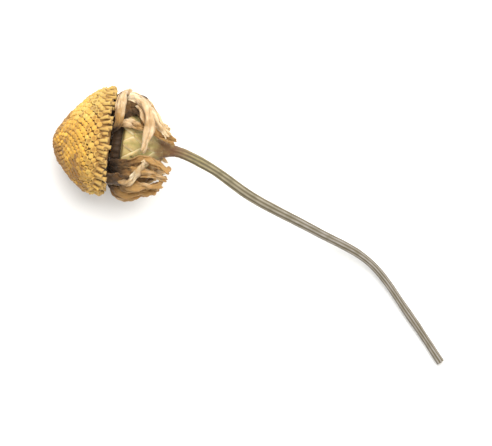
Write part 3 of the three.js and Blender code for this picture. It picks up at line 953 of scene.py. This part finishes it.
def add_ray(bm, ray, rays, draw, marks):
    """One ray floret: a thin strip that leaves the ring outwards, bends back over the cup, rolls
    in at its edges, folds and puckers, and ends in three blunt teeth. Gives its faces."""
    along_layer, across_layer, fold_shade_layer, brown_and_shade_layer = marks
    route = ray_route(ray)
    start_side = HEAD_AXIS.cross(route[0]).normalized() * -1
    frames = frames_along(route, BLADE_STEPS, start_side)
    shift = noise_shift(draw)
    folds = draw.uniform(*BLADE_FOLDS)
    made = bmesh.ops.create_grid(bm, x_segments=BLADE_STEPS, y_segments=BLADE_COLUMNS, size=1.0)
    for vert in made["verts"]:
        along, across = (vert.co.x + 1) / 2, vert.co.y
        centre, side, ahead = frames[round(along * BLADE_STEPS)]
        turn = ray.get("turn", 0) * smooth(along, *TURNED) + ray["twist"] * along
        side = Matrix.Rotation(math.radians(turn), 3, ahead) @ side
        out = ahead.cross(side)
        place = Vector((along * NOISE_ALONG, across * NOISE_ACROSS, 0)) + shift
        wander = noise.noise(Vector((along * WANDER_RATE, 0, 0)) + shift)
        half = END_WIDTH + WIDTH_SPAN * math.sin(math.pi * min(1, along * TAPER))
        half *= ray["width"] / 2
        half *= 1 + WIDTH_WANDER * wander + TATTER * abs(across) * noise.noise(place * TATTER_RATE)
        roll = math.radians(ray["roll"]) * (ROOT_ROLL + ROLL_SPAN * along)
        bend_radius = half / roll
        fold = math.cos(math.pi * folds * across + FOLD_WANDER * wander)
        fold *= FOLD_MEAN + noise.noise(place * FOLD_RATE)
        pucker = sum(height * noise.noise(place * rate) for rate, height in PUCKERS)
        teeth = (1 - math.cos(TEETH * math.pi * across)) / 2
        shade = MEAN_SHADE - FOLD_SHADE * fold - PUCKER_SHADE * pucker + EDGE_SHADE * across**4
        vert[along_layer] = along
        vert[across_layer] = across
        vert[fold_shade_layer] = clamped(shade)
        tip_brown = ray.get("tip_brown", ray["brown"])
        vert[brown_and_shade_layer] = blend(ray["brown"], tip_brown, smooth(along, *BROWNING))
        vert.co = (
            centre
            + side * (bend_radius * math.sin(across * roll) + SIDE_WANDER * along * wander)
            + out * (bend_radius * (math.cos(across * roll) - ROLL_MIDDLE) * ROLL_HEIGHT)
            + out * min(1.0, along * UNFOLDED) * rays.pleat / MM * fold
            + out * rays.crinkle / MM * pucker * (ROOT_CRINKLE + CRINKLE_SPAN * along)
            - ahead * TOOTH_DEPTH * smooth(along, *TEETH_PLACE) * teeth
        )
    return faces_of(made["verts"])


def add_ring(bm, marks):
    """The fluted ring that the roots of the ray florets grow together in. Its marks paint it dark
    brown, as the shade in the gap under the disc's rim.
    """
    along_layer, _, fold_shade_layer, brown_and_shade_layer = marks
    for vert in spun(bm, RING_PROFILE, RING_SIDES):
        turn = math.atan2(vert.co.y, vert.co.z)
        flute = math.cos(FLUTES * turn + FLUTE_WANDER * noise.noise(vert.co))
        wave = noise.noise(vert.co * RING_WAVE_RATE)
        swell(vert, 1 + FLUTE_DEPTH * flute + RING_WAVE * wave)
        vert[along_layer] = 0.0
        vert[fold_shade_layer] = RING_FOLD_SHADE
        vert[brown_and_shade_layer] = RING_BROWN_AND_SHADE


def add_bract(bm, row, angle, tip, draw, marks):
    """One bract: a pointed, keeled scale that lies on the cup, with its base towards the neck
    and its thin edge a little curled. Gives its faces."""
    edge_layer, along_layer, neck_shade_layer = marks
    shift = noise_shift(draw)
    made = bmesh.ops.create_grid(bm, x_segments=BRACT_STEPS, y_segments=BRACT_COLUMNS, size=1.0)
    for vert in made["verts"]:
        along, across = (vert.co.x + 1) / 2, vert.co.y
        x = blend(row["base"], tip, along)
        outline = math.sin(math.pi * (BRACT_START + BRACT_SPAN * along)) ** BRACT_POWER
        wave = Vector((along * BRACT_WAVE_ALONG, across * BRACT_WAVE_ACROSS, 0)) + shift
        lift = row["rise"] * (BASE_RISE + RISE_SPAN * along) * (1 - KEEL * across * across)
        radius = cup_radius(x) + (lift + BRACT_WAVE * noise.noise(wave))
        vert[edge_layer] = abs(across)
        vert[along_layer] = along
        vert[neck_shade_layer] = smooth(x, NECK_SHADE_START, NECK_END)
        vert.co = around(x, radius, angle + across * (row["width"] / 2 * outline) / cup_radius(x))
    return faces_of(made["verts"])


def add_cup(bm, edge_layer, neck_shade_layer):
    """The cup under the bracts, with the stub that the ray florets and the disc grow on."""
    profile = [(RAY_FRONT, 0.0), (RAY_FRONT, PLUG_RADIUS), (CUP_MOUTH, PLUG_RADIUS)]
    for i in range(CUP_STEPS + 1):
        x = blend(CUP_MOUTH, NECK_END, i / CUP_STEPS)
        profile.append((x, cup_radius(x)))
    profile += [(NECK_END + x, radius) for x, radius in NECK_TIP]
    for vert in spun(bm, profile, CUP_SIDES):
        swell(vert, 1 + CUP_WAVE * noise.noise(vert.co * CUP_WAVE_RATE))
        vert[edge_layer] = CUP_EDGE
        vert[neck_shade_layer] = smooth(vert.co.x, NECK_SHADE_START, NECK_END)


def add_stalk(bm, stalk, rib_layer, along_layer, pith_layer, turn_layer):
    """The ribbed stalk, swept ring by ring along its route, with the pith sunk in its cut end."""
    depth = stalk.rib_depth / MM
    bmesh.ops.create_circle(bm, segments=stalk.ribs * SIDES_PER_RIB, radius=1.0)
    verts, edges = list(bm.verts), list(bm.edges)
    for vert in verts:
        vert[turn_layer] = math.atan2(vert.co.y, vert.co.x)
    route = [Vector(point) for point in STALK_ROUTE]
    frames = frames_along(route, STALK_STEPS, Vector((0, 1, 0)))
    for i, (centre, side, ahead) in enumerate(frames):
        along = i / STALK_STEPS
        up = ahead.cross(side)
        if i:
            verts, edges = extruded(bm, edges)
        radius = blend(stalk.neck_radius, stalk.end_radius, smooth(along, *STALK_TAPER)) / MM
        radius += NECK_SWELLING * (1 - smooth(along, *NECK_SWELLING_END))
        radius += CUT_SWELLING * smooth(along, *CUT_SWELLING_START)
        wave = Vector((along * STALK_WAVE_RATE, STALK_WAVE_PLACE, 0))
        radius += STALK_WAVE * noise.noise(wave)
        for vert in verts:
            turn = vert[turn_layer]
            across, above = math.cos(turn), math.sin(turn)
            rib = math.cos(stalk.ribs * (turn + RIB_TWIST * along))
            spot = Vector((across * ROUGH_ROUND, above * ROUGH_ROUND, along * ROUGH_ALONG))
            rough = noise.noise(spot)
            reach = radius + depth * rib + STALK_ROUGH * rough
            vert.co = centre + (side * across * STALK_FLATTENED + up * above) * reach
            vert[rib_layer] = RIB_MEAN + RIB_SHADE * rib + ROUGH_SHADE * rough
            vert[along_layer] = along
        if not i:
            bmesh.ops.contextual_create(bm, geom=edges)
    for share, sunk in CUT_RINGS:
        verts, edges = extruded(bm, edges)
        for vert in verts:
            vert.co = centre + (vert.co - centre) * share - ahead * sunk
            vert[along_layer] = 1.0
    face = bmesh.ops.contextual_create(bm, geom=edges)["faces"][0]
    for vert in [*verts, *bmesh.ops.poke(bm, faces=[face])["verts"]]:
        vert[pith_layer] = 1.0
    bmesh.ops.recalc_face_normals(bm, faces=bm.faces)


class CHAMOMILE_OT_stage(bpy.types.Operator):
    """Adds the pale surface, the soft lights and the camera that looks down on the flower"""

    bl_idname = "chamomile.stage"
    bl_label = "Stage"
    bl_options = {"REGISTER", "UNDO"}

    def execute(self, context):
        stage = context.scene.chamomile_stage
        context.scene.view_settings.view_transform = "Standard"

        bm = bmesh.new()
        bmesh.ops.create_grid(bm, x_segments=1, y_segments=1, size=FLOOR_SIZE)
        mesh = new_mesh(bm, "pale_surface")
        material, tree = new_material("matt_white_card")
        shader = add_node(
            tree, "ShaderNodeBsdfPrincipled", {"Base Color": stage.floor, "Roughness": 0.9}
        )
        add_node(tree, "ShaderNodeOutputMaterial", {"Surface": shader.outputs["BSDF"]})
        mesh.materials.append(material)
        floor = new_object("pale_surface", mesh)

        world = bpy.data.worlds.new("soft_room")
        world.use_nodes = True
        world.node_tree.nodes.clear()
        room = add_node(
            world.node_tree,
            "ShaderNodeBackground",
            {"Color": ROOM_COLOUR, "Strength": stage.room},
        )
        add_node(
            world.node_tree, "ShaderNodeOutputWorld", {"Surface": room.outputs["Background"]}
        )
        context.scene.world = world

        right = Vector((math.cos(PICTURE_TURN), math.sin(PICTURE_TURN), 0))
        up = Vector((-math.sin(PICTURE_TURN), math.cos(PICTURE_TURN), 0))
        for name, (across, along, above), reach, power in (
            ("key_lamp", (0.1, 0.5, 1.0), 0.2, stage.key_power),
            ("fill_lamp", (0.9, -0.5, 0.8), 0.25, stage.fill_power),
        ):
            place = AIM + (up * along + right * across + Vector((0, 0, above))) * reach
            turn = (AIM - place).to_track_quat("-Z", "Y").to_matrix().to_4x4()
            lamp = bpy.data.lights.new(name, "AREA")
            lamp.shape = "DISK"
            lamp.size = reach
            lamp.energy = power
            new_object(name, lamp).matrix_world = Matrix.Translation(place) @ turn

        camera = bpy.data.cameras.new("camera")
        camera.lens = stage.lens
        camera.clip_start = CLIP_START
        camera.clip_end = CLIP_END
        distance = stage.frame_width * stage.lens / camera.sensor_width
        holder = new_object("camera", camera)
        turned = Matrix.Rotation(PICTURE_TURN, 4, "Z")
        holder.matrix_world = Matrix.Translation(AIM + Vector((0, 0, distance))) @ turned
        context.scene.camera = holder
        return {"FINISHED"}


class CHAMOMILE_OT_disc(bpy.types.Operator):
    """Adds the disc: the receptacle and the florets packed on it"""

    bl_idname = "chamomile.disc"
    bl_label = "Disc"
    bl_options = {"REGISTER", "UNDO"}

    def execute(self, context):
        disc = context.scene.chamomile_disc
        noise.seed_set(DISC_SEED)  # or else noise_vector takes its offsets from the clock
        bm = bmesh.new()
        tip, tone, zone = layers(bm, "tip", "tone", "zone")
        add_florets(bm, disc, random.Random(DISC_SEED), tip, tone, zone)
        add_receptacle(bm, disc, zone)
        lean_crown(bm.verts)
        finish_piece(bm, "packed_disc_florets", floret_material(disc), HEAD_PLACE, "disc_florets")
        return {"FINISHED"}


class CHAMOMILE_OT_rays(bpy.types.Operator):
    """Adds the ray florets, joined at their roots"""

    bl_idname = "chamomile.rays"
    bl_label = "Ray Florets"
    bl_options = {"REGISTER", "UNDO"}

    def execute(self, context):
        rays = context.scene.chamomile_rays
        draw = random.Random(RAYS_SEED)
        bm = bmesh.new()
        marks = layers(bm, "along", "across", "fold", "brown")
        faces = []
        for ray in RAYS:
            faces += add_ray(bm, ray, rays, draw, marks)
        thicken(bm, faces, rays.thickness / MM)
        add_ring(bm, marks)
        material = ray_material(rays)
        rounded(finish_piece(bm, "shrivelled_ray_florets", material, HEAD_PLACE, "ray_florets"))
        return {"FINISHED"}


class CHAMOMILE_OT_involucre(bpy.types.Operator):
    """Adds the cup of overlapping bracts under the head"""

    bl_idname = "chamomile.involucre"
    bl_label = "Involucre"
    bl_options = {"REGISTER", "UNDO"}

    def execute(self, context):
        bracts = context.scene.chamomile_bracts
        draw = random.Random(BRACTS_SEED)
        bm = bmesh.new()
        marks = edge, _, neck = layers(bm, "edge", "along", "neck")
        faces = []
        for number, row in enumerate(BRACT_ROWS):
            for i in range(row["count"]):
                place = i + STAGGER * (number % 2) + draw.uniform(*BRACT_SHIFT)
                tip = row["tip"] + draw.uniform(*BRACT_TIP_SHIFT)
                faces += add_bract(bm, row, place / row["count"] * TURN, tip, draw, marks)
        thicken(bm, faces, bracts.thickness / MM)
        add_cup(bm, edge, neck)
        material = bract_material(bracts)
        rounded(finish_piece(bm, "bract_cup", material, HEAD_PLACE, "involucre_bracts"))
        return {"FINISHED"}


class CHAMOMILE_OT_stalk(bpy.types.Operator):
    """Adds the ribbed stalk with its cut end"""

    bl_idname = "chamomile.stalk"
    bl_label = "Stalk"
    bl_options = {"REGISTER", "UNDO"}

    def execute(self, context):
        stalk = context.scene.chamomile_stalk
        bm = bmesh.new()
        rib, along, pith, turn = layers(bm, "rib", "along", "pith", "turn")
        add_stalk(bm, stalk, rib, along, pith, turn)
        material = stalk_material(stalk)
        rounded(finish_piece(bm, "ribbed_stalk", material, STALK_PLACE, "stalk"))
        return {"FINISHED"}


GROUPS = {
    "chamomile_stage": ChamomileStage,
    "chamomile_disc": ChamomileDisc,
    "chamomile_rays": ChamomileRays,
    "chamomile_bracts": ChamomileBracts,
    "chamomile_stalk": ChamomileStalk,
}

OPERATORS = (
    CHAMOMILE_OT_stage,
    CHAMOMILE_OT_disc,
    CHAMOMILE_OT_rays,
    CHAMOMILE_OT_involucre,
    CHAMOMILE_OT_stalk,
)


class CHAMOMILE_PT_flower(bpy.types.Panel):
    """Lists the flower's settings and the operators that build it"""

    bl_idname = "CHAMOMILE_PT_flower"
    bl_label = "Dried Chamomile Flower"
    bl_space_type = "VIEW_3D"
    bl_region_type = "UI"
    bl_category = "Chamomile"

    def draw(self, context):
        for operator, name in zip(OPERATORS, GROUPS):
            box = self.layout.box()
            settings = getattr(context.scene, name)
            for prop in settings.bl_rna.properties:
                if prop.identifier not in ("name", "rna_type"):
                    box.prop(settings, prop.identifier)
            box.operator(operator.bl_idname)


CLASSES = (*GROUPS.values(), *OPERATORS, CHAMOMILE_PT_flower)


def register():
    for cls in CLASSES:
        bpy.utils.register_class(cls)
    for name, group in GROUPS.items():
        setattr(bpy.types.Scene, name, bpy.props.PointerProperty(type=group))


def unregister():
    for name in GROUPS:
        delattr(bpy.types.Scene, name)
    for cls in reversed(CLASSES):
        bpy.utils.unregister_class(cls)


def main():
    register()
    bpy.ops.chamomile.stage()
    bpy.ops.chamomile.disc()
    bpy.ops.chamomile.rays()
    bpy.ops.chamomile.involucre()
    bpy.ops.chamomile.stalk()


if __name__ == "__main__":
    main()
